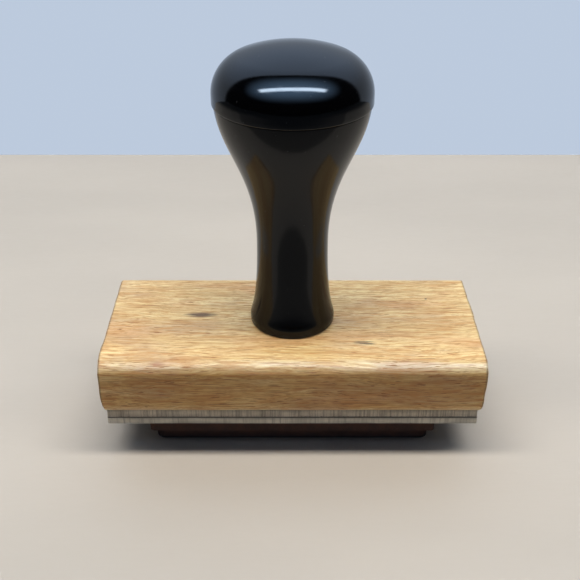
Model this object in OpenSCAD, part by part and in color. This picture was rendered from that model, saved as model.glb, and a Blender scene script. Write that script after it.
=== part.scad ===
// Wood-mounted rubber stamp with a hollow two-piece plastic handle.
// Millimetres, +Z up. The print face lies on Z = 0, the block runs along X,
// and the handle stands on the Z axis.

/* [Wooden mount] */
// Length of the block, along X
mount_l = 80; // [55:1:120]
// Width of the block, along Y
mount_w = 37; // [30:0.5:60]
// Thickness of the block
mount_h = 12.7; // [9:0.1:20]
// Rounding of the two long upper edges
mount_top_r = 2.5; // [0.5:0.1:4]
// Rounding of the two long lower edges
mount_bottom_r = 2.7; // [0.5:0.1:4]
// Rounding of the four upright corner edges
mount_corner_r = 0.5; // [0.2:0.1:2]

/* [Cushion and glue films] */
// Distance from each sawn end of the block to the cushion
cushion_end_inset = 0.7; // [0.2:0.1:4]
// Distance from each long side of the block to the cushion
cushion_side_inset = 1.9; // [1:0.1:4]
// Thickness of the soft foam layer under the block
foam_h = 2.0; // [1:0.1:5]
// Thickness of the firmer backing layer under the foam
backing_h = 1.6; // [0.8:0.1:4]
// Thickness of each glue film
film_h = 0.1; // [0.05:0.05:0.3]
// How far the glue film between the two layers stands back from their edges
film_inset = 0.1; // [0.05:0.05:0.5]

/* [Rubber die] */
// Distance from each end of the cushion to the die
die_end_margin = 8.3; // [2:0.1:12]
// Distance from each long side of the cushion to the die
die_side_margin = 3.1; // [1:0.1:5]
// Thickness of the floor of the die
die_floor_h = 4.2; // [1:0.1:6]
// Height of the raised print above the floor of the die
relief_h = 2.9; // [0.8:0.1:4]
// Distance from the edge of the die to the printed border
border_inset = 1.2; // [0.6:0.1:3]
// Width of the border line
border_line = 0.9; // [0.5:0.1:2]
// Thickness of the stem of the leaf branch
stem_line = 1.0; // [0.6:0.1:2]
// Length of one leaf
leaf_l = 10; // [6:0.5:12]
// Width of one leaf
leaf_w = 4.2; // [2:0.1:6]
// Distance between two leaf pairs along the stem
leaf_pitch = 5.8; // [5:0.1:12]

/* [Handle body] */
// Diameter of the foot at its widest
foot_d = 18.1; // [15:0.1:30]
// Height of the widest place of the foot above the block
foot_edge_h = 1.3; // [0.5:0.1:3]
// Rounding of the lower edge of the foot
foot_edge_r = 0.5; // [0.2:0.1:1]
// Diameter of the waist
waist_d = 14.9; // [13:0.1:24]
// Height of the waist above the block
waist_h = 19; // [14:0.5:30]
// Outer diameter at the mouth, under the cap
mouth_d = 30.9; // [24:0.1:40]
// Height of the body
body_h = 48.9; // [38:0.1:65]
// Lean of the outside at the mouth, in degrees
mouth_lean = 6; // [0:1:15]
// Wall of the hollow body
body_wall = 2.0; // [1.2:0.1:3]
// Thickness of the floor that the screw clamps
floor_h = 5; // [3:0.1:8]
// Depth of the shallow hollow under the foot
foot_hollow_h = 0.6; // [0.2:0.1:1.5]
// Width of the ring that stands on the block
foot_ring_w = 2.4; // [1.5:0.1:3]
// Depth of the straight bore that takes the plug of the cap
plug_bore_h = 4.6; // [3:0.1:8]
// Wall around the lower end of that bore
plug_bore_wall = 1.4; // [1:0.1:2.5]

/* [Cap] */
// How far the cap stands out past the mouth of the body, all round
cap_lip = 0.3; // [0:0.05:1]
// Height of the cap above the seam
cap_h = 11.2; // [8:0.1:16]
// Height of the straight side of the cap
cap_side_h = 1.9; // [1:0.1:4]
// Radius of the shoulder of the cap
cap_shoulder_r = 7.9; // [3:0.1:9]
// Rounding of the lower outer edge of the cap
cap_edge_r = 0.25; // [0.1:0.05:0.5]
// Wall of the cap
cap_wall = 2.0; // [1.2:0.1:3]
// Wall of the plug ring
plug_wall = 1.6; // [1:0.1:2.5]
// Gap between the end of the plug and the floor of its bore
plug_end_gap = 0.5; // [0.3:0.1:1.5]
// Radial clearance between the plug and its bore
plug_clearance = 0.05; // [0.02:0.01:0.1]

/* [Screw] */
// Largest diameter of the thread
thread_d = 4.16; // [3:0.01:5]
// Diameter of the core between the threads
core_d = 2.9; // [2:0.1:3.5]
// Diameter of the plain shank
shank_d = 3.8; // [2.5:0.1:4.2]
// Length of the plain shank
shank_l = 6; // [3:0.1:8]
// Advance of the screw in one turn
thread_pitch = 2.8; // [1.5:0.1:3.5]
// Length of the point
point_l = 2.4; // [1:0.1:4]
// Diameter of the pan head
head_d = 7.8; // [6:0.1:9]
// Height of the pan head
head_h = 2.6; // [2:0.1:4]
// Width of each bar of the cross recess
recess_bar = 0.9; // [0.5:0.1:1.2]
// Span of the cross recess
recess_span = 4.2; // [3:0.1:5]
// Depth of the cross recess
recess_h = 1.5; // [0.8:0.1:1.8]
// Thickness of the washer
washer_h = 1.0; // [0.6:0.1:1.5]
// Gap between the washer and the narrowest part of the hollow
washer_gap = 0.7; // [0.3:0.1:2]
// Wood left under the point of the screw
point_cover = 2.8; // [2:0.1:5]
// Radial clearance of the screw in the block
pilot_clearance = 0.05; // [0.02:0.01:0.1]
// Radial clearance of the screw in the floor of the handle
floor_hole_clearance = 0.25; // [0.1:0.05:0.6]

/* [Hidden] */
$fn = 96;

// How far cutting solids reach past the faces they cut
cut = 1;

// How far a solid reaches into the one it is joined to
sink = 0.01;

// Heights of the layers, from the print face up
die_z = relief_h;
die_film_z = relief_h + die_floor_h;
backing_z = die_film_z + film_h;
laminate_z = backing_z + backing_h;
foam_z = laminate_z + film_h;
mount_film_z = foam_z + foam_h;
mount_z = mount_film_z + film_h;
block_top_z = mount_z + mount_h;
floor_top_z = block_top_z + floor_h;
mouth_z = block_top_z + body_h;

// Plan sizes of the layers
cushion_l = mount_l - 2 * cushion_end_inset;
cushion_w = mount_w - 2 * cushion_side_inset;
die_l = cushion_l - 2 * die_end_margin;
die_w = cushion_w - 2 * die_side_margin;
print_l = die_l - 2 * border_inset;
print_w = die_w - 2 * border_inset;

// The branch: as many leaf pairs as the border leaves room for
leaf_angle = 45;
leaf_vein = 0.5;
berry_r = 0.9;
branch_room = print_l / 2 - 2 * border_line - leaf_l;
leaf_pairs = max(1, floor(branch_room / leaf_pitch));
leaf_reach = print_w / 2 - 2 * border_line;
leaf_scale = min(1, leaf_reach / (leaf_l * sin(leaf_angle) + leaf_w / 2));

// Outside of the handle body: one Bezier curve from the foot to the waist and
// one from the waist to the mouth, as points [radius, height above the block]
curve_steps = 18;
foot_pull = 0.093;
low_waist_pull = 0.863;
high_waist_pull = 0.509;
mouth_pull = 0.325;

function mix4(a, b, c, d, t) =
  pow(1 - t, 3) * a + 3 * pow(1 - t, 2) * t * b + 3 * (1 - t) * pow(t, 2) * c + pow(t, 3) * d;
function bezier(a, b, c, d, steps) = [for (i = [0:steps]) mix4(a, b, c, d, i / steps)];
function tail(list) = [for (i = [1:len(list) - 1]) list[i]];
function arc(centre, r, from, to, steps) =
  [for (i = [0:steps]) centre + r * [cos(from + (to - from) * i / steps), sin(from + (to - from) * i / steps)]];

foot_r = foot_d / 2;
waist_r = waist_d / 2;
mouth_r = mouth_d / 2;
low_span = waist_h - foot_edge_h;
high_span = body_h - waist_h;
low_curve = bezier(
  [foot_r, foot_edge_h],
  [foot_r, foot_edge_h + foot_pull * low_span],
  [waist_r, waist_h - low_waist_pull * low_span],
  [waist_r, waist_h],
  curve_steps
);
high_curve = bezier(
  [waist_r, waist_h],
  [waist_r, waist_h + high_waist_pull * high_span],
  [mouth_r - mouth_pull * high_span * sin(mouth_lean), body_h - mouth_pull * high_span * cos(mouth_lean)],
  [mouth_r, body_h],
  curve_steps
);
side_curve = concat(low_curve, tail(high_curve));
side_table = [for (p = side_curve) [p[1], p[0]]];
function side_r(height) = lookup(height, side_table);

// The straight bore in the mouth, and the plug that fits in it
plug_bore_z = mouth_z - plug_bore_h;
plug_bore_r = side_r(body_h - plug_bore_h) - plug_bore_wall;
plug_r = plug_bore_r - plug_clearance;
plug_l = plug_bore_h - plug_end_gap;

// The dome of the cap: a side, a shoulder arc and a crown arc that meets it smoothly
cap_r = mouth_r + cap_lip;
crown_h = cap_h - cap_side_h;
shoulder_r = min(cap_shoulder_r, 0.86 * crown_h);
crown_r = (pow(cap_r, 2) - 2 * cap_r * shoulder_r + pow(crown_h, 2)) / (2 * (crown_h - shoulder_r));
shoulder_centre = [cap_r - shoulder_r, cap_side_h];
crown_centre = [0, cap_h - crown_r];
meeting_angle = atan2(shoulder_centre[1] - crown_centre[1], shoulder_centre[0]);

// The screw and its washer
screw_seat_z = floor_top_z + washer_h;
point_z = mount_z + point_cover;
screw_l = screw_seat_z - point_z;
thread_r = thread_d / 2;
core_r = core_d / 2;
washer_r = waist_r - body_wall - washer_gap;
pilot_r = thread_r + pilot_clearance;
pilot_end_gap = 0.5;
floor_hole_r = thread_r + floor_hole_clearance;

// Rectangle with round corners, made of true arcs
module round_rect(l, w, r) {
  square([l - 2 * r, w], center = true);
  square([l, w - 2 * r], center = true);
  for (x = [-1, 1], y = [-1, 1])
    translate([x * (l / 2 - r), y * (w / 2 - r)])
      circle(r);
}

// Slab with its underside at height z
module slab(l, w, h, z, r) {
  translate([0, 0, z])
    linear_extrude(h)
      round_rect(l, w, r);
}

// End view of the block: its width across, its thickness up
module mount_section() {
  bottom_width = mount_w - 2 * mount_bottom_r;
  top_width = mount_w - 2 * mount_top_r;
  translate([-bottom_width / 2, 0])
    square([bottom_width, mount_h / 2]);
  translate([-top_width / 2, mount_h / 2])
    square([top_width, mount_h / 2]);
  translate([-mount_w / 2, mount_bottom_r])
    square([mount_w, mount_h - mount_bottom_r - mount_top_r]);
  for (side = [-1, 1]) {
    translate([side * bottom_width / 2, mount_bottom_r])
      circle(mount_bottom_r);
    translate([side * top_width / 2, mount_h - mount_top_r])
      circle(mount_top_r);
  }
}

module wood_mount() {
  color("burlywood")
    difference() {
      intersection() {
        translate([0, 0, mount_z])
          rotate([90, 0, 90])
            linear_extrude(mount_l + 2 * cut, center = true)
              mount_section();
        slab(mount_l, mount_w, mount_h + 2 * cut, mount_z - cut, mount_corner_r);
      }
      translate([0, 0, point_z - pilot_end_gap])
        cylinder(r = pilot_r, h = mount_h);
    }
}

module mount_adhesive_film() {
  inset = mount_bottom_r - cushion_side_inset + film_inset;
  color("lightgray")
    slab(cushion_l - 2 * film_inset, cushion_w - 2 * inset, film_h, mount_film_z, 0.5);
}

module foam_cushion() {
  color("darkgray")
    slab(cushion_l, cushion_w, foam_h, foam_z, 0.2);
}

module laminate_adhesive() {
  color("dimgray")
    slab(cushion_l - 2 * film_inset, cushion_w - 2 * film_inset, film_h, laminate_z, 0.2);
}

module backing_sheet() {
  color("silver")
    slab(cushion_l, cushion_w, backing_h, backing_z, 0.2);
}

module die_adhesive_film() {
  color("gray")
    slab(die_l - 2 * film_inset, die_w - 2 * film_inset, film_h, die_film_z, 0.8);
}

// Leaf from the origin along +X: two arcs, split by a vein
module leaf(l, w) {
  arc_r = (pow(l, 2) + pow(w, 2)) / (4 * w);
  difference() {
    intersection() {
      translate([l / 2, arc_r - w / 2])
        circle(arc_r);
      translate([l / 2, w / 2 - arc_r])
        circle(arc_r);
    }
    translate([0.22 * l, -leaf_vein / 2])
      square([0.5 * l, leaf_vein]);
  }
}

// Half of the branch: a stem, pairs of leaves that point outwards, and an end leaf
module half_branch() {
  l = leaf_l * leaf_scale;
  w = leaf_w * leaf_scale;
  stem_end = leaf_pairs * leaf_pitch;
  translate([0, -stem_line / 2])
    square([stem_end + 1, stem_line]);
  for (i = [0:leaf_pairs - 1], side = [-1, 1])
    translate([(i + 0.5) * leaf_pitch, 0])
      rotate(side * leaf_angle)
        leaf(l, w);
  translate([stem_end, 0])
    leaf(l, w);
  for (i = [1:leaf_pairs], side = [-1, 1])
    translate([i * leaf_pitch, side * 0.3 * leaf_reach])
      circle(berry_r);
}

// Everything that prints
module print_outline() {
  difference() {
    round_rect(print_l, print_w, 2);
    round_rect(print_l - 2 * border_line, print_w - 2 * border_line, 1.2);
  }
  half_branch();
  mirror([1, 0])
    half_branch();
}

module rubber_die() {
  color("darkslategray") {
    slab(die_l, die_w, die_floor_h, die_z, 1);
    linear_extrude(die_z + sink)
      print_outline();
  }
}

// Half outline of the solid handle body, from the axis round the foot to the mouth
module body_outline() {
  foot_curve = arc([foot_r - foot_edge_r, foot_edge_r], foot_edge_r, -90, 0, 6);
  polygon(concat([[0, 0]], foot_curve, side_curve, [[0, body_h]]));
}

// Half outline of the hollow in the body
module cavity_outline() {
  wall_points = [
    for (p = side_curve)
      if (p[1] > floor_h && p[1] < body_h - plug_bore_h)
        [p[0] - body_wall, p[1]]
  ];
  floor_r = side_r(floor_h) - body_wall;
  upper_r = side_r(body_h - plug_bore_h) - body_wall;
  polygon(concat(
    [[0, floor_h], [floor_r, floor_h]],
    wall_points,
    [[upper_r, body_h - plug_bore_h + sink], [0, body_h - plug_bore_h + sink]]
  ));
}

module handle_body() {
  color([0.06, 0.06, 0.07])
    translate([0, 0, block_top_z])
      difference() {
        rotate_extrude()
          body_outline();
        rotate_extrude()
          cavity_outline();
        translate([0, 0, body_h - plug_bore_h])
          cylinder(r = plug_bore_r, h = plug_bore_h + cut);
        translate([0, 0, -cut])
          cylinder(r = floor_hole_r, h = floor_h + 2 * cut);
        translate([0, 0, -cut])
          cylinder(r = foot_r - foot_ring_w, h = foot_hollow_h + cut);
      }
}

// Half outline of the dome, shrunk by a wall thickness; at 0 it is the outside
module dome_outline(inset) {
  shoulder = arc(shoulder_centre, shoulder_r - inset, 0, meeting_angle, 14);
  crown = arc(crown_centre, crown_r - inset, meeting_angle, 90, 14);
  polygon(concat([[0, 0], [cap_r - inset, 0]], shoulder, tail(crown)));
}

// The ring that plugs into the mouth of the body, up to the underside of the dome
module plug_ring() {
  translate([0, 0, -plug_l])
    difference() {
      cylinder(r = plug_r, h = plug_l + cap_h);
      translate([0, 0, -cut])
        cylinder(r = plug_r - plug_wall, h = plug_l + cap_h + 2 * cut);
    }
}

module handle_cap() {
  color([0.04, 0.04, 0.05])
    translate([0, 0, mouth_z]) {
      difference() {
        rotate_extrude()
          dome_outline(0);
        translate([0, 0, -sink / 10])
          rotate_extrude()
            dome_outline(cap_wall);
        rotate_extrude()
          translate([cap_r, 0])
            difference() {
              square(2 * cap_edge_r, center = true);
              translate([-cap_edge_r, cap_edge_r])
                circle(cap_edge_r, $fn = 24);
            }
      }
      intersection() {
        plug_ring();
        union() {
          translate([0, 0, -plug_l])
            cylinder(r = cap_r, h = plug_l);
          rotate_extrude()
            dome_outline(cap_wall / 2);
        }
      }
    }
}

// Ridge of the thread: a three-sided bar wound round the core, fading out at both ends
thread_sides = 16;
thread_root = 0.2;
thread_half_w = 0.75;
thread_l = screw_l - shank_l - point_l;
thread_steps = floor(thread_l / thread_pitch * thread_sides);
fade_steps = 8;

function ridge_height(i) = (thread_r - core_r) * min(1, (i + 1) / fade_steps, (thread_steps - i + 1) / fade_steps);
function ridge_ring(i) =
  let (turn = 360 * i / thread_sides, height = thread_pitch * i / thread_sides)
    [
      for (corner = [[-thread_root, -thread_half_w], [ridge_height(i), 0], [-thread_root, thread_half_w]])
        let (r = core_r + corner[0])
          [r * cos(turn), r * sin(turn), height + corner[1]]
    ];

module thread_ridge() {
  points = [for (i = [0:thread_steps]) each ridge_ring(i)];
  sides = [
    for (i = [0:thread_steps - 1], k = [0:2])
      let (a = 3 * i + k, b = 3 * i + (k + 1) % 3)
        each [[a, b + 3, a + 3], [a, b, b + 3]]
  ];
  last = 3 * thread_steps;
  polyhedron(points, concat([[0, 2, 1]], sides, [[last, last + 1, last + 2]]));
}

module handle_screw() {
  color("lightsteelblue")
    translate([0, 0, point_z]) {
      cylinder(r1 = 0.2, r2 = core_r, h = point_l);
      translate([0, 0, point_l])
        cylinder(r = core_r, h = screw_l - point_l);
      translate([0, 0, screw_l - shank_l])
        cylinder(r = shank_d / 2, h = shank_l);
      translate([0, 0, point_l])
        thread_ridge();
      translate([0, 0, screw_l])
        difference() {
          rotate_extrude()
            intersection() {
              square([head_d / 2, head_h]);
              translate([0, head_h - head_d])
                circle(head_d);
            }
          for (turn = [0, 90])
            rotate(turn)
              translate([-recess_span / 2, -recess_bar / 2, head_h - recess_h])
                cube([recess_span, recess_bar, recess_h + cut]);
        }
    }
}

module screw_washer() {
  color("silver")
    translate([0, 0, floor_top_z])
      difference() {
        cylinder(r = washer_r, h = washer_h);
        translate([0, 0, -cut])
          cylinder(r = floor_hole_r, h = washer_h + 2 * cut);
      }
}

wood_mount();
mount_adhesive_film();
foam_cushion();
laminate_adhesive();
backing_sheet();
die_adhesive_film();
rubber_die();
handle_body();
handle_cap();
handle_screw();
screw_washer();
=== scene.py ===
import math
import random

import bpy
import numpy as np
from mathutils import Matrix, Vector, noise


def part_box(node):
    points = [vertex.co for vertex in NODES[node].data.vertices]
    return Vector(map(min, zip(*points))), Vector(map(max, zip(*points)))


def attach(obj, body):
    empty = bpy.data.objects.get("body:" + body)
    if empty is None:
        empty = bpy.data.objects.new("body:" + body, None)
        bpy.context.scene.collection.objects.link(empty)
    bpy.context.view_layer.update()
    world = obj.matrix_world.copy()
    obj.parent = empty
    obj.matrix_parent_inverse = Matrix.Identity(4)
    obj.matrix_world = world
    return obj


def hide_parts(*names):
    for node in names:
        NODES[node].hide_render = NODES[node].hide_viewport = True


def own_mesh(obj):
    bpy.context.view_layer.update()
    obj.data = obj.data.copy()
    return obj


# A wood-mounted rubber stamp. Z is up, the block runs along X, and the photographed side faces -Y.
# The object's sizes are in millimetres, and MM turns them into Blender's metres.
# The light and the floor are in metres.
MM = 0.001

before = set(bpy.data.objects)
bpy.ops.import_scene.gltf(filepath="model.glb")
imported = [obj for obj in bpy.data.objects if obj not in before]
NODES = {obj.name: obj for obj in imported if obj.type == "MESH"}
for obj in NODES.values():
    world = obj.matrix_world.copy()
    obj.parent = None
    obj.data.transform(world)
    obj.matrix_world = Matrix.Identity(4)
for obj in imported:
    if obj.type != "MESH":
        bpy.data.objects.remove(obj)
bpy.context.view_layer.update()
random.seed(7)


# ---------------------------------------------------------------- camera

CAMERA_AT = (-0.5, -175.5, 133.3)
CAMERA_PITCH = 30.36  # degrees below the horizon
CAMERA_LENS = 58.59
SENSOR_WIDTH = 36


def make_camera():
    data = bpy.data.cameras.new("camera")
    data.lens = CAMERA_LENS
    data.sensor_width = SENSOR_WIDTH
    data.clip_start = 0.01
    data.clip_end = 50
    camera = bpy.data.objects.new("camera", data)
    camera.location = Vector(CAMERA_AT) * MM
    camera.rotation_euler = (math.radians(90 - CAMERA_PITCH), 0, 0)
    bpy.context.scene.collection.objects.link(camera)
    bpy.context.scene.camera = camera


make_camera()


# ---------------------------------------------------------------- node helpers


class Tree:
    """A material's or world's node tree, with short calls for the nodes used here."""

    def __init__(self, owner):
        owner.use_nodes = True
        self.tree = owner.node_tree
        self.tree.nodes.clear()

    def add(self, kind, inputs=None, **attributes):
        node = self.tree.nodes.new("ShaderNode" + kind)
        for name, value in attributes.items():
            setattr(node, name, value)
        for name, value in (inputs or {}).items():
            self.feed(node.inputs[name], value)
        return node

    def feed(self, socket, value):
        if isinstance(value, bpy.types.NodeSocket):
            self.tree.links.new(value, socket)
        else:
            socket.default_value = value

    def output(self, kind, shader):
        self.tree.links.new(shader.outputs[0], self.add("Output" + kind).inputs[0])

    def coordinates(self):
        """Object coordinates, in metres."""
        return self.add("TexCoord").outputs["Object"]

    def axes(self, source=None):
        return self.add("SeparateXYZ", {0: source or self.coordinates()}).outputs

    def stretched(self, scale, offset=(0, 0, 0), source=None):
        """Object coordinates in millimetres, or the coordinates given, times scale."""
        if source is None:
            source = self.coordinates()
            scale = [s / MM for s in scale]
        inputs = {"Vector": source, "Scale": scale, "Location": offset}
        return self.add("Mapping", inputs).outputs[0]

    def noise(self, vector, detail=2.0, roughness=0.5):
        inputs = {"Vector": vector, "Scale": 1.0, "Detail": detail, "Roughness": roughness}
        return self.add("TexNoise", inputs).outputs["Fac"]

    def ramp(self, factor, stops):
        node = self.add("ValToRGB", {"Fac": factor})
        elements = node.color_ramp.elements
        while len(elements) < len(stops):
            elements.new(0.5)
        for element, (place, colour) in zip(elements, stops):
            element.position = place
            element.color = (*colour, 1)
        return node.outputs["Color"]

    def span(self, value, low, high, to_low=0.0, to_high=1.0):
        """value from low..high to to_low..to_high, clamped and smooth."""
        inputs = {
            "Value": value, "From Min": low, "From Max": high, "To Min": to_low, "To Max": to_high,
        }
        return self.add("MapRange", inputs, interpolation_type="SMOOTHSTEP").outputs["Result"]

    def math(self, operation, *values):
        node = self.add("Math", operation=operation)
        for socket, value in zip(node.inputs, values):
            self.feed(socket, value)
        return node.outputs[0]

    def plus(self, a, b):
        return self.math("ADD", a, b)

    def times(self, first, *others):
        for other in others:
            first = self.math("MULTIPLY", first, other)
        return first

    def length(self, vector):
        return self.add("VectorMath", {0: vector}, operation="LENGTH").outputs["Value"]

    def mix(self, factor, a, b, blend="MIX"):
        node = self.add("Mix", data_type="RGBA", blend_type=blend)
        for index, value in ((0, factor), (6, a), (7, b)):
            if isinstance(value, tuple) and len(value) == 3:
                value = (*value, 1)
            self.feed(node.inputs[index], value)
        return node.outputs[2]

    def attribute(self, name):
        return self.add("Attribute", attribute_name=name).outputs["Fac"]

    def bump(self, height, distance, strength=1.0, normal=None):
        inputs = {"Height": height, "Distance": distance, "Strength": strength}
        if normal is not None:
            inputs["Normal"] = normal
        return self.add("Bump", inputs).outputs[0]

    def spot(self, centre, reach):
        """1 at centre, and 0 outside the ellipsoid with the half sizes reach."""
        scale = [1 / r for r in reach]
        offset = [-c / r for c, r in zip(centre, reach)]
        return self.span(self.length(self.stretched(scale, offset)), 1.0, 0.0)


def material(name):
    made = bpy.data.materials.new(name)
    tree = Tree(made)
    shader = tree.add("BsdfPrincipled")
    tree.output("Material", shader)
    return made, tree, shader


def finish_surface(tree, shader, colour, roughness, normal):
    tree.feed(shader.inputs["Base Color"], colour)
    tree.feed(shader.inputs["Roughness"], roughness)
    tree.feed(shader.inputs["Normal"], normal)


# ---------------------------------------------------------------- wood

WOOD_LOW, WOOD_HIGH = (Vector(c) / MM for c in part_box("wood_mount"))
BLOCK_L = WOOD_HIGH.x - WOOD_LOW.x
BLOCK_W = WOOD_HIGH.y - WOOD_LOW.y
BLOCK_TOP = WOOD_HIGH.z

# The colour of the wood by its broad bands, as places on the ramp
BAND_STOPS = (
    (0.32, (0.70, 0.49, 0.235)),
    (0.48, (0.83, 0.635, 0.325)),
    (0.64, (0.90, 0.725, 0.405)),
)
DULL_PATCH = (0.62, 0.43, 0.255)
RED_PATCH = (0.76, 0.455, 0.225)
DARK_STREAK = (0.66, 0.375, 0.150)
PALE_STREAK = (0.97, 0.80, 0.47)
FIBRE = (0.56, 0.290, 0.105)
LONG_LINE = (0.60, 0.335, 0.135)
PORE = (0.38, 0.155, 0.045)
# The long sides' tone: partly the side grain's own colour, partly painted shade
SIDE_SHADE_TINT = (0.93, 0.775, 0.56)
END_TINT = (0.60, 0.40, 0.20)
GROWTH_RING = (0.42, 0.25, 0.115)
DIRTY_EDGE = (0.20, 0.125, 0.07)
# Painted shade at the arris
ARRIS_SHADE = (0.40, 0.22, 0.09)
# Pale shoulder colour: partly wear, partly a painted highlight
PALE_SCUFF_AND_HIGHLIGHT = (0.93, 0.84, 0.70)

# Growth rings on the sawn ends: minus the place of their centre, and radians of phase per millimetre
RING_OFFSET = (0, 9, 26)
RING_RATE = 2.3

# Marks: place along and across the block as shares of it, depth below the top, half sizes, colour
STAIN = ((-0.251, 0.022), 0, (4.6, 1.4, 2), (0.15, 0.078, 0.036))
SMUDGE = ((0.188, -0.28), 0, (3.0, 1.3, 2), (0.17, 0.115, 0.060))
FLECK = ((0.377, 0.205), 0, (0.42, 0.42, 1), (0.10, 0.07, 0.04))
RED_LENS = ((-0.345, -0.475), 0.5, (2.6, 1.6, 0.9), (0.46, 0.22, 0.12))


def wood_fields(t):
    """The noises that make up the wood, drawn out along the grain. All but the first two waver."""
    sway = t.noise(t.stretched((0.03, 0.08, 0.08), (6, 1, 9)), 2)
    warp = t.times(t.math("SUBTRACT", sway, 0.5), 4.0)
    shift = t.add("CombineXYZ", {"Y": warp, "Z": warp}).outputs[0]
    wavering = t.add("VectorMath", {0: t.stretched((1, 1, 1)), 1: shift}, operation="ADD")

    def grain(along, across, offset, detail, roughness):
        return t.noise(t.stretched((along, *across), offset, wavering.outputs[0]), detail, roughness)

    return {
        "cloud": t.noise(t.stretched((0.045, 0.12, 0.12)), 3, 0.55),
        "blush": t.noise(t.stretched((0.05, 0.16, 0.16), (9, 4, 2)), 2, 0.5),
        "bands": grain(0.035, (0.42, 0.45), (0, 0, 0), 3, 0.6),
        "streaks": grain(0.17, (2.6, 2.6), (0, 0, 0), 3, 0.6),
        "fibres": grain(0.42, (6.4, 6.4), (1, 7, 3), 3, 0.65),
        "pores": grain(0.36, (4.4, 4.4), (3, 11, 5), 1, 0.5),
        "long_pores": grain(0.15, (3.4, 3.4), (31, 2, 17), 1, 0.5),
        "lines": grain(0.11, (1.9, 1.9), (17, 23, 8), 2, 0.6),
    }


def wood_colour(t, field, pits):
    colour = t.ramp(field["bands"], BAND_STOPS)
    layers = (
        ("cloud", 0.48, 0.64, 0.72, DULL_PATCH),
        ("blush", 0.52, 0.70, 0.50, RED_PATCH),
        ("streaks", 0.49, 0.64, 0.90, DARK_STREAK),
        ("streaks", 0.44, 0.28, 0.60, PALE_STREAK),
        ("fibres", 0.50, 0.68, 0.78, FIBRE),
        ("lines", 0.55, 0.63, 0.55, LONG_LINE),
    )
    for name, low, high, strength, tint in layers:
        colour = t.mix(t.span(field[name], low, high, 0, strength), colour, tint)
    return t.mix(t.times(pits, 0.80), colour, PORE)


def with_marks(t, colour, field):
    def mark(kind, strength, most, breakup):
        nonlocal colour
        (along, across), depth, reach, tint = kind
        share = t.spot((along * BLOCK_L, across * BLOCK_W, BLOCK_TOP - depth), reach)
        share = t.times(share, strength)
        if breakup:
            share = t.times(share, t.span(field["streaks"], *breakup))
        colour = t.mix(t.math("MINIMUM", share, most), colour, tint)

    mark(STAIN, 1.5, 0.92, (0.25, 0.55, 0.50, 1.0))
    mark(SMUDGE, 1.8, 0.85, (0.42, 0.56))
    mark(FLECK, 1.0, 1.0, None)
    mark(RED_LENS, 0.8, 1.0, None)
    return colour


def with_wear(t, colour, field, pits, end):
    """Long sides' tone with painted shade, sawn ends, dirty end edges, painted arris shade, shoulder
    wear and painted highlight.
    """
    # Darker long sides: partly the side grain's own tone, partly painted shade.
    side = t.times(t.attribute("long_side"), t.span(field["bands"], 0.66, 0.34, 0.50, 1.0))
    colour = t.mix(side, colour, SIDE_SHADE_TINT, "MULTIPLY")
    colour = t.mix(t.times(end, 0.62), colour, END_TINT, "MULTIPLY")
    from_pith = t.length(t.stretched((0, 1, 1), RING_OFFSET))
    phase = t.plus(t.times(from_pith, RING_RATE), t.times(field["cloud"], 9.0))
    rings = t.times(end, t.span(t.math("SINE", phase), -0.2, 1.0))
    colour = t.mix(t.times(rings, 0.42), colour, GROWTH_RING)
    dirt = t.times(t.attribute("end_edge"), t.span(field["fibres"], 0.30, 0.60, 0.45, 0.9))
    colour = t.mix(dirt, colour, DIRTY_EDGE)
    # Painted shade on the upper edge's arc just above the arris, broken up by the streaks.
    arris = t.times(t.attribute("arris"), t.span(field["streaks"], 0.35, 0.60, 0.1, 0.62))
    colour = t.mix(arris, colour, ARRIS_SHADE)
    # Pale shoulders: partly wear, partly a painted highlight.
    scuff_and_highlight = t.times(t.attribute("shoulder"), t.span(field["bands"], 0.46, 0.60))
    return t.mix(t.times(scuff_and_highlight, t.span(pits, 0.6, 0.0), 0.30), colour, PALE_SCUFF_AND_HIGHLIGHT)


def wood_material():
    """Pale open-pored hardwood under a satin varnish, with the grain along X."""
    made, t, shader = material("hardwood")
    field = wood_fields(t)
    crowd = t.span(field["cloud"], 0.34, 0.60, 0.45, 1.0)
    short = t.times(t.span(field["pores"], 0.615, 0.70), crowd)
    pits = t.math("MAXIMUM", short, t.span(field["long_pores"], 0.64, 0.73, 0, 0.85))
    end = t.attribute("sawn_end")
    colour = with_marks(t, wood_colour(t, field, pits), field)
    colour = with_wear(t, colour, field, pits, end)

    rough = t.span(field["streaks"], 0.30, 0.70, 0.34, 0.50)
    rough = t.plus(t.plus(rough, t.times(end, 0.22)), t.times(pits, 0.35))
    rise = t.math("SUBTRACT", t.times(field["streaks"], 0.6), t.times(pits, 0.9))
    rise = t.plus(rise, t.times(field["fibres"], 0.25))
    normal = t.bump(rise, 0.09 * MM, 0.6, t.bump(field["bands"], 0.35 * MM, 0.5))
    shader.inputs["Specular IOR Level"].default_value = 0.50
    finish_surface(t, shader, colour, rough, normal)
    return made


# ---------------------------------------------------------------- other materials

SPECK = (0.20, 0.20, 0.21)
BODY_BLACK, BODY_ROUGHNESS, BODY_IOR = (0.0028, 0.0024, 0.0018), 0.09, 1.43
CAP_BLACK, CAP_ROUGHNESS, CAP_IOR = (0.0016, 0.0018, 0.0025), 0.07, 1.50

# Foam and backing: colour of the cut sides, of the knife marks in them, and of the broad faces
FOAM_COLOURS = ((0.78, 0.70, 0.585), (0.35, 0.30, 0.24), (0.40, 0.36, 0.30))
BACKING_COLOURS = ((0.82, 0.75, 0.63), (0.37, 0.325, 0.26), (0.20, 0.125, 0.075))

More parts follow.
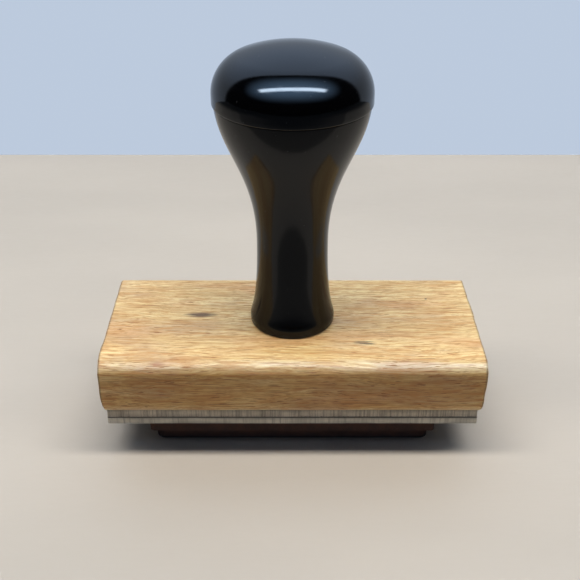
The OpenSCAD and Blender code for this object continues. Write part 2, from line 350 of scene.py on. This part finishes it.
RUBBER_DARK, RUBBER_LIGHT = (0.050, 0.012, 0.002), (0.075, 0.019, 0.003)
INK, RUBBER_DUST = (0.016, 0.009, 0.006), (0.085, 0.042, 0.028)
INK_HEIGHT = 0.9  # ink lies below this height above the print face
GLUE_DARK, GLUE_LIGHT = (0.075, 0.062, 0.050), (0.15, 0.125, 0.10)
ZINC_BRIGHT, ZINC_DULL = (0.62, 0.63, 0.64), (0.45, 0.455, 0.46)


def plastic_material(name, colour, roughness, ior):
    """Dark moulded plastic: glossy, faintly uneven, with dust specks and hairline scratches."""
    made, t, shader = material(name)
    tone = t.noise(t.stretched((0.15, 0.15, 0.1)), 3)
    dust = t.span(t.noise(t.stretched((1.9, 1.9, 1.9)), 1, 0.4), 0.80, 0.83)
    lint = t.span(t.noise(t.stretched((5.5, 5.5, 0.8), (4, 4, 4)), 1, 0.4), 0.79, 0.83)
    specks = t.math("MAXIMUM", dust, lint)
    tinted = t.mix(tone, colour, tuple(c * 1.4 for c in colour))
    wipes = t.noise(t.stretched((0.5, 0.5, 2.6), (7, 1, 3)), 4, 0.6)
    rough = t.plus(t.span(wipes, 0.35, 0.75, roughness, roughness + 0.07), t.times(specks, 0.3))
    swell = t.noise(t.stretched((0.12, 0.12, 0.12), (2, 5, 8)), 1)
    fine = t.plus(t.times(specks, 0.8), t.times(wipes, 0.2))
    normal = t.bump(fine, 0.012 * MM, 0.5, t.bump(swell, 0.5 * MM, 0.12))
    shader.inputs["IOR"].default_value = ior
    finish_surface(t, shader, t.mix(t.times(specks, 0.35), tinted, SPECK), rough, normal)
    return made


def cut_sheet_material(name, colours, density, contrast, cells):
    """A soft or rubbery sheet whose cut sides show the strokes of the knife as upright lines."""
    pale, dark, face = colours
    made, t, shader = material(name)
    strokes = t.noise(t.stretched((density, density, 0.06)), 3, 0.75)
    deep = t.noise(t.stretched((3.4, 3.4, 0.03), (5, 8, 2)), 0, 0.5)
    blotch = t.noise(t.stretched((0.12, 0.12, 0.5), (3, 3, 1)), 3)
    side = t.attribute("cut_side")
    shallow = t.span(strokes, 0.42, 0.66, 0, contrast)
    line = t.times(side, t.math("MAXIMUM", shallow, t.span(deep, 0.70, 0.76, 0, 0.8)))
    # Darkening near the top and bottom of the cut sides: painted shade under the wooden block, grime
    # at the glue joint, and darker towards the underside.
    shade_and_grime = t.times(t.attribute("shade_and_grime"), t.span(blotch, 0.3, 0.7, 0.4, 0.9))
    colour = t.mix(t.span(blotch, 0.35, 0.65), pale, tuple(c * 0.80 for c in pale))
    colour = t.mix(line, t.mix(side, face, colour), dark)
    colour = t.mix(shade_and_grime, colour, tuple(c * 0.35 for c in pale))
    rough = t.span(blotch, 0.3, 0.7, 0.72, 0.9)
    cell_inputs = {"Vector": t.stretched((cells, cells, cells)), "Scale": 1.0}
    pattern = t.add("TexVoronoi", cell_inputs).outputs["Distance"]
    normal = t.bump(line, -0.06 * MM, 0.6, t.bump(pattern, 0.05 * MM, 0.5))
    finish_surface(t, shader, colour, rough, normal)
    return made


def rubber_material():
    """Moulded die rubber: dull red-brown, with ink left on the print face."""
    made, t, shader = material("die_rubber")
    tone = t.noise(t.stretched((0.3, 0.3, 0.3)), 4, 0.6)
    grain = t.noise(t.stretched((5, 5, 5)), 3)
    colour = t.mix(t.span(tone, 0.35, 0.65), RUBBER_DARK, RUBBER_LIGHT)
    low = t.span(t.axes()["Z"], INK_HEIGHT * MM, 0.05 * MM)
    colour = t.mix(t.times(low, t.span(tone, 0.30, 0.55, 0.55, 0.95)), colour, INK)
    colour = t.mix(t.span(grain, 0.45, 0.75, 0, 0.3), colour, RUBBER_DUST)
    rough = t.span(grain, 0.3, 0.7, 0.50, 0.72)
    finish_surface(t, shader, colour, rough, t.bump(grain, 0.03 * MM, 0.6))
    return made


def glue_material():
    """Thin brownish glue film with dull smears."""
    made, t, shader = material("glue_film")
    smear = t.noise(t.stretched((0.5, 0.5, 2)), 4, 0.6)
    colour = t.mix(t.span(smear, 0.3, 0.7), GLUE_DARK, GLUE_LIGHT)
    rough = t.span(smear, 0.3, 0.7, 0.35, 0.6)
    finish_surface(t, shader, colour, rough, t.bump(smear, 0.03 * MM, 0.5))
    return made


def steel_material():
    """Bright zinc plating with fine turning marks and a few dull blooms."""
    made, t, shader = material("plated_steel")
    bloom = t.noise(t.stretched((0.8, 0.8, 0.8)), 4, 0.6)
    turned = t.noise(t.stretched((0.6, 0.6, 14)), 2)
    colour = t.mix(t.span(bloom, 0.35, 0.7), ZINC_BRIGHT, ZINC_DULL)
    rough = t.span(bloom, 0.3, 0.7, 0.22, 0.42)
    shader.inputs["Metallic"].default_value = 1.0
    finish_surface(t, shader, colour, rough, t.bump(turned, 0.01 * MM, 0.5))
    return made


# ---------------------------------------------------------------- mesh helpers


def make_piece(name, verts, faces, body, made, replaced, sharp, attributes=None):
    """A mesh piece from points in millimetres, riding on its body in the place of a CAD node."""
    mesh = bpy.data.meshes.new(name)
    mesh.from_pydata([tuple(c * MM for c in v) for v in verts], [], faces)
    mesh.polygons.foreach_set("use_smooth", [True] * len(mesh.polygons))
    for key, values in (attributes or {}).items():
        mesh.attributes.new(key, "FLOAT", "POINT").data.foreach_set("value", values)
    mesh.update()
    mesh.set_sharp_from_angle(angle=math.radians(sharp))
    mesh.materials.append(made)
    piece = bpy.data.objects.new(name, mesh)
    bpy.context.scene.collection.objects.link(piece)
    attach(piece, body)
    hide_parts(replaced)
    return piece


def steps(low, high, edge, fine, coarse):
    """Coordinates from low to high, closer together within edge of both ends."""
    n_edge = max(1, round(edge / fine))
    n_mid = max(1, round((high - low - 2 * edge) / coarse))
    ends = [low + edge * i / n_edge for i in range(n_edge)]
    middle = [low + edge + (high - low - 2 * edge) * i / n_mid for i in range(n_mid + 1)]
    return ends + middle + [high - (c - low) for c in reversed(ends)]


def ripple(x, y, z, frequency, seed):
    """Smooth noise between about -1 and 1."""
    place = (x * frequency + seed, y * frequency - seed, z * frequency + 2 * seed)
    return noise.noise(Vector(place))


# ---------------------------------------------------------------- wooden block

TOP_DROP = 2.5  # how far the upper long edges fall
TOP_END = math.radians(74)  # slope at which their arc ends in an arris
BOTTOM_R = 2.7  # rounding of the lower long edges
WEAR_R, WEAR_SWAY, WEAR_FINE, WEAR_LEAST = 0.42, 0.30, 0.12, 0.18  # rounding of the end edges
END_ZONE = 1.2  # depth from each end that its saw cut bends
END_BACK, END_SWAY, END_FINE = 0.14, 0.24, 0.07  # how far the cut stands back and wavers
END_UNDERCUT, UNDERCUT_H = 0.62, 4.2  # how far it leans in at the bottom, and from what height
HOLLOW, HOLLOW_FINE = 0.045, 0.018  # sanding waves on the long faces
EDGE_BAND, EDGE_BAND_AT = 0.42, 0.16  # dirty line along the end edges
ARRIS_AT, ARRIS_BAND = 15, 9  # degrees of slope that get painted shade below the upper edge
SHOULDER_AT, SHOULDER_BAND = 52, 34  # degrees of slope that are scuffed, with a painted highlight, above it


def block_section_point(y, z, half_w, half_h):
    """Moves a point of the plain rectangle to the section with eased long edges.
    Returns it and its outward direction, which is (0, 0) off the edges.
    The upper edges end in an arris, because their arc stops short of upright.
    The lower ones are quarter rounds."""
    if z > 0:
        radius, end = TOP_DROP / (1 - math.cos(TOP_END)), TOP_END
    else:
        radius, end = BOTTOM_R, math.pi / 2
    across, down = radius * math.sin(end), radius * (1 - math.cos(end))
    core_y, core_z = half_w - across, half_h - down
    dy, dz = (abs(y) - core_y) / across, (abs(z) - core_z) / down
    if dy <= 0 or dz <= 0:
        return y, z, 0.0, 0.0
    reach = max(dy, dz)
    turn = end * (0.5 * dy / reach if dz == reach else 1 - 0.5 * dz / reach)
    arc_y = core_y + radius * math.sin(turn)
    arc_z = half_h - radius * (1 - math.cos(turn))
    sy = math.copysign(core_y + (arc_y - core_y) * reach, y)
    sz = math.copysign(core_z + (arc_z - core_z) * reach, z)
    return sy, sz, math.copysign(math.sin(turn), y), math.copysign(math.cos(turn), z)


def block_point(x, y, z, half_l, half_w, half_h):
    """The worn place of a point of the plain box, and how much of each named area it lies in."""
    wear = WEAR_R + WEAR_SWAY * ripple(x, y, z, 0.35, 3.1) + WEAR_FINE * ripple(x, y, z, 1.3, 8.2)
    radius = max(WEAR_LEAST, wear)
    from_end = half_l - abs(x)
    from_side = min(half_w - abs(y), half_h - abs(z))
    on_side = from_side < 1e-6
    sy, sz, ny, nz = block_section_point(y, z, half_w, half_h)
    if ny == 0.0 and nz == 0.0:
        if half_w - abs(y) < half_h - abs(z):
            ny = math.copysign(1.0, y)
        else:
            nz = math.copysign(1.0, z)
    sx = x
    if from_end < radius and from_side < radius:
        da, db = radius - from_end, radius - from_side
        length = math.hypot(da, db)
        move_back = (radius - da / length * radius) - from_end
        move_in = (radius - db / length * radius) - from_side
        sx -= math.copysign(move_back, x)
        sy -= ny * move_in
        sz -= nz * move_in
    end_share = max(0.0, 1 - from_end / END_ZONE)
    if end_share > 0:
        side_seed = 5.5 if x > 0 else 9.5
        sway = END_SWAY * ripple(0, y, z, 0.16, side_seed) + END_FINE * ripple(0, y, z, 0.6, 2.2)
        low = max(0.0, 1 - (z + half_h) / UNDERCUT_H)
        back = END_BACK - sway + END_UNDERCUT * low * low
        sx -= math.copysign(end_share * back, x)
    if on_side:
        hollow = HOLLOW * ripple(x * 0.25, y, z, 0.55, 1.7)
        hollow += HOLLOW_FINE * ripple(x * 0.3, y, z, 2.4, 6.1)
        sy += ny * hollow
        sz += nz * hollow

    slope = math.degrees(math.atan2(nz, abs(ny))) if on_side and ny and nz else -90
    from_line = math.hypot(from_end - EDGE_BAND_AT, from_side)
    areas = {
        "sawn_end": 1.0 if from_end < 1e-6 and from_side > radius else 0.0,
        "end_edge": max(0.0, 1 - from_line / EDGE_BAND),
        "arris": max(0.0, 1 - abs(slope - ARRIS_AT) / ARRIS_BAND) if z > 0 else 0.0,
        "shoulder": max(0.0, 1 - abs(slope - SHOULDER_AT) / SHOULDER_BAND) if nz > 0 else 0.0,
        "long_side": min(1.0, max(0.0, (abs(ny) - 0.90) / 0.08)) if on_side else 0.0,
    }
    return (sx, sy, sz), areas


def build_block():
    """The block as a box of six grids, finer near its edges, with every point worn into place."""
    half_l, half_w = BLOCK_L / 2, BLOCK_W / 2
    half_h = (WOOD_HIGH.z - WOOD_LOW.z) / 2
    middle_z = (WOOD_HIGH.z + WOOD_LOW.z) / 2
    xs = steps(-half_l, half_l, 1.2, 0.12, 0.55)
    ys = steps(-half_w, half_w, 3.6, 0.20, 0.8)
    zs = steps(-half_h, half_h, 2.6, 0.2, 0.8)
    last_x, last_y, last_z = len(xs) - 1, len(ys) - 1, len(zs) - 1
    index, verts, faces, fields = {}, [], [], {}

    def point(i, j, k):
        key = (i, j, k)
        if key not in index:
            (x, y, z), areas = block_point(xs[i], ys[j], zs[k], half_l, half_w, half_h)
            index[key] = len(verts)
            verts.append((x, y, z + middle_z))
            for name, share in areas.items():
                fields.setdefault(name, []).append(share)
        return index[key]

    def grid(n_a, n_b, corner, flip):
        for a in range(n_a):
            for b in range(n_b):
                quad = [corner(a, b), corner(a + 1, b), corner(a + 1, b + 1), corner(a, b + 1)]
                faces.append(quad[::-1] if flip else quad)

    grid(last_x, last_y, lambda a, b: point(a, b, 0), True)
    grid(last_x, last_y, lambda a, b: point(a, b, last_z), False)
    grid(last_x, last_z, lambda a, b: point(a, 0, b), False)
    grid(last_x, last_z, lambda a, b: point(a, last_y, b), True)
    grid(last_y, last_z, lambda a, b: point(0, a, b), True)
    grid(last_y, last_z, lambda a, b: point(last_x, a, b), False)
    make_piece(
        "wood_block", verts, faces, "mount", wood_material(), "wood_mount", 50, fields
    )


# ---------------------------------------------------------------- cushion layers

LAYER_CORNER_R, LAYER_PITCH = 0.25, 0.16
CORNER_STEPS = 4
CUT_HALF_W = 0.16  # half width of one deep knife mark
SIDE_WAVE = 0.07
SHADE_GRIME_LOW, SHADE_GRIME_HIGH = 0.30, 0.35  # shares of the height that are darkened, from below and above

# Sides of the layers from the underside up: share of the height, and how far in
FOAM_LEVELS = (
    (0, 0.16), (0.05, 0.05), (0.16, 0.0), (0.36, 0.03),
    (0.58, 0.05), (0.80, 0.02), (0.94, 0.03), (1, 0.12),
)
BACKING_LEVELS = (
    (0, 0.10), (0.05, 0.02), (0.15, 0.0), (0.40, 0.01),
    (0.65, 0.02), (0.88, 0.01), (0.96, 0.03), (1, 0.10),
)


def outline_points(length, width, radius, pitch):
    """Points along a rectangle with small round corners, with the outward direction of each."""
    points = []
    corners = [(1, -1, -90), (1, 1, 0), (-1, 1, 90), (-1, -1, 180)]
    for number, (side_x, side_y, start) in enumerate(corners):
        cx, cy = side_x * (length / 2 - radius), side_y * (width / 2 - radius)
        for i in range(CORNER_STEPS + 1):
            a = math.radians(start + 90 * i / CORNER_STEPS)
            nx, ny = math.cos(a), math.sin(a)
            points.append((cx + radius * nx, cy + radius * ny, nx, ny))
        next_x, next_y, next_start = corners[(number + 1) % 4]
        a = math.radians(next_start)
        nx, ny = math.cos(a), math.sin(a)
        begin_x, begin_y = points[-1][:2]
        finish_x = next_x * (length / 2 - radius) + radius * nx
        finish_y = next_y * (width / 2 - radius) + radius * ny
        count = max(1, int(math.hypot(finish_x - begin_x, finish_y - begin_y) / pitch))
        for i in range(1, count):
            share = i / count
            x = begin_x + (finish_x - begin_x) * share
            y = begin_y + (finish_y - begin_y) * share
            points.append((x, y, nx, ny))
    return points


def build_layer(name, node, body, made, depth, marks, levels, top_shade_and_grime, bottom_shade_and_grime):
    """A sheet with its sides cut by a knife. depth is how far the cut wavers.
    marks is the number of deep marks on the long sides."""
    low, high = (Vector(c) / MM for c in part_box(node))
    length, width = high.x - low.x, high.y - low.y
    ring = outline_points(length, width, LAYER_CORNER_R, LAYER_PITCH)
    half = length / 2
    cuts = [(random.uniform(-half, half), random.uniform(0.5, 1.0)) for _ in range(marks)]
    verts, side, shade_and_grime = [], [], []
    for share, inset in levels:
        z = low.z + (high.z - low.z) * share
        from_below = bottom_shade_and_grime * (1 - share / SHADE_GRIME_LOW)
        from_above = top_shade_and_grime * (1 - (1 - share) / SHADE_GRIME_HIGH)
        for x, y, nx, ny in ring:
            stroke = 0.5 * ripple(x, y, 0.12 * z, 1.9, 4.4) + 0.5 * ripple(x, y, 0.1 * z, 4.1, 7.7)
            dent = depth * (0.5 + 0.5 * stroke)
            for place, strength in cuts:
                if abs(ny) > 0.9 and abs(x - place) < CUT_HALF_W:
                    dent += depth * 1.5 * strength * (1 - abs(x - place) / CUT_HALF_W)
            wave = SIDE_WAVE * ripple(x, y, z * 0.3, 0.10, 2.9) + SIDE_WAVE
            move = inset + dent + wave
            verts.append((x - nx * move, y - ny * move, z))
            side.append(1.0 if 0.0 < share < 1.0 else 0.0)
            shade_and_grime.append(max(from_below, from_above, 0.0))
    count = len(ring)
    faces = []
    for row in range(len(levels) - 1):
        for i in range(count):
            a, b = row * count + i, row * count + (i + 1) % count
            faces.append((a, b, b + count, a + count))
    faces.append(tuple(reversed(range(count))))
    faces.append(tuple(range((len(levels) - 1) * count, len(levels) * count)))
    fields = {"cut_side": side, "shade_and_grime": shade_and_grime}
    return make_piece(name, verts, faces, body, made, node, 40, fields)


def build_layers():
    # The foam's top gets painted shade under the block; its bottom and the backing's top are grime at
    # the glue joint; the backing darkens towards its bottom.
    foam = build_layer(
        "foam_layer", "foam_cushion", "mount",
        cut_sheet_material("foam", FOAM_COLOURS, 3.0, 0.7, 7),
        0.10, 34, FOAM_LEVELS, 0.9, 0.5,
    )
    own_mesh(foam)
    build_layer(
        "backing_layer", "backing_sheet", "print_pad",
        cut_sheet_material("backing", BACKING_COLOURS, 1.6, 0.4, 11),
        0.05, 16, BACKING_LEVELS, 0.6, 0.9,
    )


# ---------------------------------------------------------------- handle

# Radii and heights of the body, from the top of the block up
TURNS = 224
FOOT_R, FOOT_EDGE_H, FOOT_EDGE_R = 9.05, 1.3, 0.5
WAIST_R, WAIST_H = 7.45, 19.0
MOUTH_R, BODY_H, MOUTH_LEAN = 15.45, 48.9, math.radians(6)
# How far the side curve's control points are pulled: foot, waist down, waist up, mouth
PULLS = (0.093, 0.863, 0.509, 0.325)
BODY_WALL, FLOOR_H, FOOT_HOLLOW_H, FOOT_RING_W = 2.0, 5.0, 0.6, 2.4
FLOOR_HOLE_R = 2.33
BORE_H, BORE_WALL = 4.6, 1.4

# Radii and heights of the cap, from the mouth of the body up
CAP_R, CAP_H, CAP_SIDE_H, CAP_SHOULDER_R = 15.75, 11.2, 1.9, 7.9
CAP_EDGE_R, CAP_WALL = 0.25, 2.0
PLUG_WALL, PLUG_L, PLUG_CLEARANCE = 1.6, 4.1, 0.05


def bezier(a, b, c, d, count):
    made = []
    for i in range(count + 1):
        t = i / count
        weights = ((1 - t) ** 3, 3 * (1 - t) ** 2 * t, 3 * (1 - t) * t * t, t ** 3)
        made.append(tuple(sum(w * p[k] for w, p in zip(weights, (a, b, c, d))) for k in (0, 1)))
    return made


def rounded(corners, count=6):
    """A closed outline whose corners (radius, height, rounding) are eased."""
    made = []
    for i, (r, z, ease) in enumerate(corners):
        if not ease:
            made.append((r, z))
            continue
        tip = Vector((r, z))
        to_before = Vector(corners[i - 1][:2]) - tip
        to_after = Vector(corners[(i + 1) % len(corners)][:2]) - tip
        step = min(ease, 0.45 * to_before.length, 0.45 * to_after.length)
        a = tip + to_before.normalized() * step
        b = tip + to_after.normalized() * step
        for k in range(count + 1):
            t = k / count
            p = a * (1 - t) ** 2 + tip * 2 * t * (1 - t) + b * t * t
            made.append((p.x, p.y))
    return made


def lathe(outline, closed):
    """Turns an outline of (radius, height) round the Z axis. A point on the axis makes a pole."""
    verts, rows = [], []
    for r, z in outline:
        if r < 1e-6:
            rows.append([len(verts)] * TURNS)
            verts.append((0.0, 0.0, z))
            continue
        rows.append(list(range(len(verts), len(verts) + TURNS)))
        for i in range(TURNS):
            a = 2 * math.pi * i / TURNS
            verts.append((r * math.cos(a), r * math.sin(a), z))
    faces = []
    pairs = list(zip(rows, rows[1:])) + ([(rows[-1], rows[0])] if closed else [])
    for low, high in pairs:
        for i in range(TURNS):
            j = (i + 1) % TURNS
            face = tuple(dict.fromkeys((low[i], low[j], high[j], high[i])))
            if len(face) > 2:
                faces.append(face)
    return verts, faces


def side_curve():
    """The outside of the body, from the widest place of its foot over the waist to the mouth."""
    low, high = WAIST_H - FOOT_EDGE_H, BODY_H - WAIST_H
    foot_pull, waist_down, waist_up, mouth_pull = PULLS
    lower = bezier(
        (FOOT_R, FOOT_EDGE_H), (FOOT_R, FOOT_EDGE_H + foot_pull * low),
        (WAIST_R, WAIST_H - waist_down * low), (WAIST_R, WAIST_H), 44,
    )
    lean_r = mouth_pull * high * math.sin(MOUTH_LEAN)
    lean_z = mouth_pull * high * math.cos(MOUTH_LEAN)
    upper = bezier(
        (WAIST_R, WAIST_H), (WAIST_R, WAIST_H + waist_up * high),
        (MOUTH_R - lean_r, BODY_H - lean_z), (MOUTH_R, BODY_H), 60,
    )
    return lower + upper[1:]


SIDE = side_curve()


def side_r(height):
    return float(np.interp(height, [z for _, z in SIDE], [r for r, _ in SIDE]))


BORE_Z = BODY_H - BORE_H
BORE_R = side_r(BORE_Z) - BORE_WALL


def build_body():
    foot = []
    for degrees in range(0, 91, 15):
        a = math.radians(degrees)
        r = FOOT_R - FOOT_EDGE_R + FOOT_EDGE_R * math.sin(a)
        foot.append((r, FOOT_EDGE_R - FOOT_EDGE_R * math.cos(a), 0))
    ring_r = FOOT_R - FOOT_RING_W
    inner = [(r - BODY_WALL, z, 0) for r, z in reversed(SIDE) if FLOOR_H + 0.9 < z < BORE_Z - 0.5]
    corners = foot + [(r, z, 0) for r, z in SIDE[:-1]]
    corners += [(MOUTH_R, BODY_H, 0.5), (BORE_R, BODY_H, 0.25), (BORE_R, BORE_Z, 0.15)]
    corners += [(side_r(BORE_Z) - BODY_WALL, BORE_Z, 0.15)] + inner
    corners += [(side_r(FLOOR_H) - BODY_WALL, FLOOR_H, 0.8), (FLOOR_HOLE_R, FLOOR_H, 0.2)]
    corners += [(FLOOR_HOLE_R, FOOT_HOLLOW_H, 0.15), (ring_r, FOOT_HOLLOW_H, 0.15), (ring_r, 0.0, 0.1)]
    verts, faces = lathe([(r, z + BLOCK_TOP) for r, z in rounded(corners)], True)
    made = plastic_material("body_plastic", BODY_BLACK, BODY_ROUGHNESS, BODY_IOR)
    make_piece("handle_stem", verts, faces, "handle", made, "handle_body", 60)


def dome(inset, count):
    """The side of the cap from its shoulder to its top: a small arc that runs into a large one."""
    crown_h = CAP_H - CAP_SIDE_H
    centre_r = CAP_R - CAP_SHOULDER_R
    across = CAP_R ** 2 - 2 * CAP_R * CAP_SHOULDER_R
    crown_r = (across + crown_h ** 2) / (2 * (crown_h - CAP_SHOULDER_R))
    crown_z = CAP_H - crown_r
    meeting = math.atan2(CAP_SIDE_H - crown_z, centre_r)
    points = []
    for i in range(count + 1):
        a, r = meeting * i / count, CAP_SHOULDER_R - inset
        points.append((centre_r + r * math.cos(a), CAP_SIDE_H + r * math.sin(a)))
    for i in range(1, count):
        a, r = meeting + (math.pi / 2 - meeting) * i / count, crown_r - inset
        points.append((r * math.cos(a), crown_z + r * math.sin(a)))
    return points + [(0.0, CAP_H - inset)]


def build_cap():
    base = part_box("handle_body")[1].z / MM
    plug_r = BORE_R - PLUG_CLEARANCE
    inner_r = plug_r - PLUG_WALL
    inside = [p for p in dome(CAP_WALL, 30) if p[0] < inner_r - 0.4]
    corners = [(r, z, 0) for r, z in reversed(dome(0, 40))]
    corners += [(CAP_R, 0.9, 0), (CAP_R, 0.0, CAP_EDGE_R * 1.3)]
    corners += [(plug_r, 0.0, 0.12), (plug_r, -PLUG_L, 0.35), (inner_r, -PLUG_L, 0.3)]
    corners += [(inner_r, inside[0][1] - 0.3, 0.5)] + [(r, z, 0) for r, z in inside]
    verts, faces = lathe([(r, z + base) for r, z in rounded(corners)], False)
    faces = [face[::-1] for face in faces]
    made = plastic_material("cap_plastic", CAP_BLACK, CAP_ROUGHNESS, CAP_IOR)
    make_piece("handle_dome", verts, faces, "cap", made, "handle_cap", 60)


# ---------------------------------------------------------------- light and floor, in metres

OVERHEAD_AT, OVERHEAD_SIZE = (0, -0.080, 0.8), (1.2, 0.13)
OVERHEAD_POWER, OVERHEAD_COLOUR = 8.3, (1.0, 0.965, 0.90)

FLOOR_SIDE, FLOOR_FRONT, FLOOR_BACK = 0.9, -0.55, 0.151
FLOOR_ALBEDO = (0.52, 0.475, 0.425)
BOUNCE_DROP = 0.02 * MM
UNLIT_FLOOR = (0.012, 0.011, 0.010)
# The floor that gives bounce and reflections fades out to the sides and towards the camera,
# and drops at the near edge of the table
FADE_ACROSS = (0.12, 0.36)
FADE_ALONG = (-0.22, -0.06)
TABLE_EDGE, PAST_EDGE = (-0.061, -0.055), 0.36

PANEL_HALF, PANEL_AT, PANEL_TARGET = (2, 0.95), (0, -0.475, 1.0), (0, 0, 0.08)
BAR_LENGTH, BAR_WIDTH = (0.92, 0.76), (0.125, 0.045)  # where the bar is dark, and where full
HALO_REACH, HALO_FALL = (2.0, 0.95), 1.25
BAR_GLOW, BAR_COLOUR = 19.0, (0.74, 0.86, 1.0)
HALO_GLOW, HALO_COLOUR = 3.6, (0.43, 0.68, 1.02)

WALL_GLOW = (0.56, 0.64, 0.76)
HIGH_WALL_GLOW = (1.02, 1.28, 1.70)
ROOM_GLOW = (0.012, 0.011, 0.012)
SHADE_TINT = (1.04, 0.95, 0.80)


def facing(place, target):
    return (Vector(target) - Vector(place)).to_track_quat("-Z", "Y").to_euler()


def flat_mesh(name, low, high, height, made):
    """A level rectangle from the corner low to the corner high."""
    (x0, y0), (x1, y1) = low, high
    mesh = bpy.data.meshes.new(name)
    corners = [(x0, y0, height), (x1, y0, height), (x1, y1, height), (x0, y1, height)]
    mesh.from_pydata(corners, [], [(0, 1, 2, 3)])
    mesh.materials.append(made)
    sheet = bpy.data.objects.new(name, mesh)
    bpy.context.scene.collection.objects.link(sheet)
    return sheet


def add_overhead():
    """The soft light from above. The glossy parts show the panel instead of it."""
    data = bpy.data.lights.new("overhead", "AREA")
    data.shape = "RECTANGLE"
    data.size, data.size_y = OVERHEAD_SIZE
    data.energy = OVERHEAD_POWER
    data.color = OVERHEAD_COLOUR
    lamp = bpy.data.objects.new("overhead", data)
    lamp.location = OVERHEAD_AT
    lamp.rotation_euler = facing(OVERHEAD_AT, (0, 0, 0))
    lamp.visible_glossy = False
    bpy.context.scene.collection.objects.link(lamp)


def floor_material(name, fades):
    made, t, shader = material(name)
    drift = t.noise(t.stretched((0.006, 0.02, 0.02)), 3)
    grain = t.noise(t.stretched((0.2, 1.2, 1.2)), 4, 0.6)
    paler = tuple(c * 1.06 for c in FLOOR_ALBEDO)
    colour = t.mix(t.span(drift, 0.35, 0.65), FLOOR_ALBEDO, paler)
    if fades:
        axes = t.axes()
        across = t.span(t.math("ABSOLUTE", axes["X"]), *FADE_ACROSS, 1.0, 0.04)
        along = t.span(axes["Y"], *FADE_ALONG)
        edge = t.span(axes["Y"], *TABLE_EDGE, PAST_EDGE, 1.0)
        colour = t.mix(t.times(across, along, edge), UNLIT_FLOOR, colour)
    rough = t.span(grain, 0.3, 0.7, 0.62, 0.75)
    finish_surface(t, shader, colour, rough, t.bump(grain, 0.05 * MM, 0.3))
    return made


def add_floors():
    """One floor that the camera sees, and one just below it that light and reflections see."""
    low, high = (-FLOOR_SIDE, FLOOR_FRONT), (FLOOR_SIDE, FLOOR_BACK)
    seen = flat_mesh("floor", low, high, 0.0, floor_material("floor", False))
    seen.visible_glossy = False
    seen.visible_diffuse = False
    seen.visible_shadow = False
    made = floor_material("floor_bounce", True)
    bounce = flat_mesh("floor_bounce", low, high, -BOUNCE_DROP, made)
    bounce.visible_camera = False


def add_panel():
    """The strip light that the glossy parts show, a bright bar in a wide faint glow."""
    made = bpy.data.materials.new("softbox")
    t = Tree(made)
    axes = t.axes()
    bar_x = t.span(t.math("ABSOLUTE", axes["X"]), *BAR_LENGTH)
    bar_y = t.span(t.math("ABSOLUTE", axes["Y"]), *BAR_WIDTH)
    bar = t.times(bar_x, bar_y, BAR_GLOW)
    spread = (1 / HALO_REACH[0], 1 / HALO_REACH[1], 0)
    scaled = t.add("VectorMath", {0: t.coordinates(), 1: spread}, operation="MULTIPLY").outputs[0]
    fall = t.math("POWER", t.span(t.length(scaled), 1.0, 0.1), HALO_FALL)
    halo = t.times(fall, HALO_GLOW)
    glow = t.add("AddShader")
    for socket, strength, colour in zip(glow.inputs, (bar, halo), (BAR_COLOUR, HALO_COLOUR)):
        emission = t.add("Emission", {"Color": (*colour, 1), "Strength": strength})
        t.feed(socket, emission.outputs[0])
    t.output("Material", glow)
    low, high = [-c for c in PANEL_HALF], PANEL_HALF
    panel = flat_mesh("softbox", low, high, 0.0, made)
    panel.location = PANEL_AT
    panel.rotation_euler = facing(PANEL_AT, PANEL_TARGET)
    panel.visible_camera = False
    panel.visible_diffuse = False
    panel.visible_shadow = False


def build_room():
    """A pale wall glow behind the stamp and a dark room in front. The camera sees an even wall."""
    world = bpy.data.worlds.new("room")
    bpy.context.scene.world = world
    t = Tree(world)
    axes = t.axes(t.add("TexCoord").outputs["Generated"])
    wall = t.mix(t.span(axes["Z"], 0.15, 0.85), WALL_GLOW, HIGH_WALL_GLOW)
    glow = t.mix(t.span(axes["Y"], 0.20, 0.31), ROOM_GLOW, wall)
    ray = t.add("LightPath").outputs
    glow = t.mix(ray["Is Diffuse Ray"], glow, t.mix(1.0, glow, SHADE_TINT, "MULTIPLY"))
    glow = t.mix(ray["Is Camera Ray"], glow, WALL_GLOW)
    t.output("World", t.add("Background", {"Color": glow, "Strength": 1.0}))


def build_studio():
    add_overhead()
    add_panel()
    add_floors()
    build_room()
    bpy.context.scene.view_settings.view_transform = "Standard"
    bpy.context.scene.view_settings.gamma = 0.85


# ---------------------------------------------------------------- assembly

CARRIED = (
    (glue_material, ("mount_adhesive_film", "laminate_adhesive", "die_adhesive_film")),
    (rubber_material, ("rubber_die",)),
    (steel_material, ("handle_screw", "screw_washer")),
)

build_block()
build_layers()
build_body()
build_cap()
for maker, node_names in CARRIED:
    finish = maker()
    for node_name in node_names:
        mesh = NODES[node_name].data
        mesh.materials.clear()
        mesh.materials.append(finish)
build_studio()
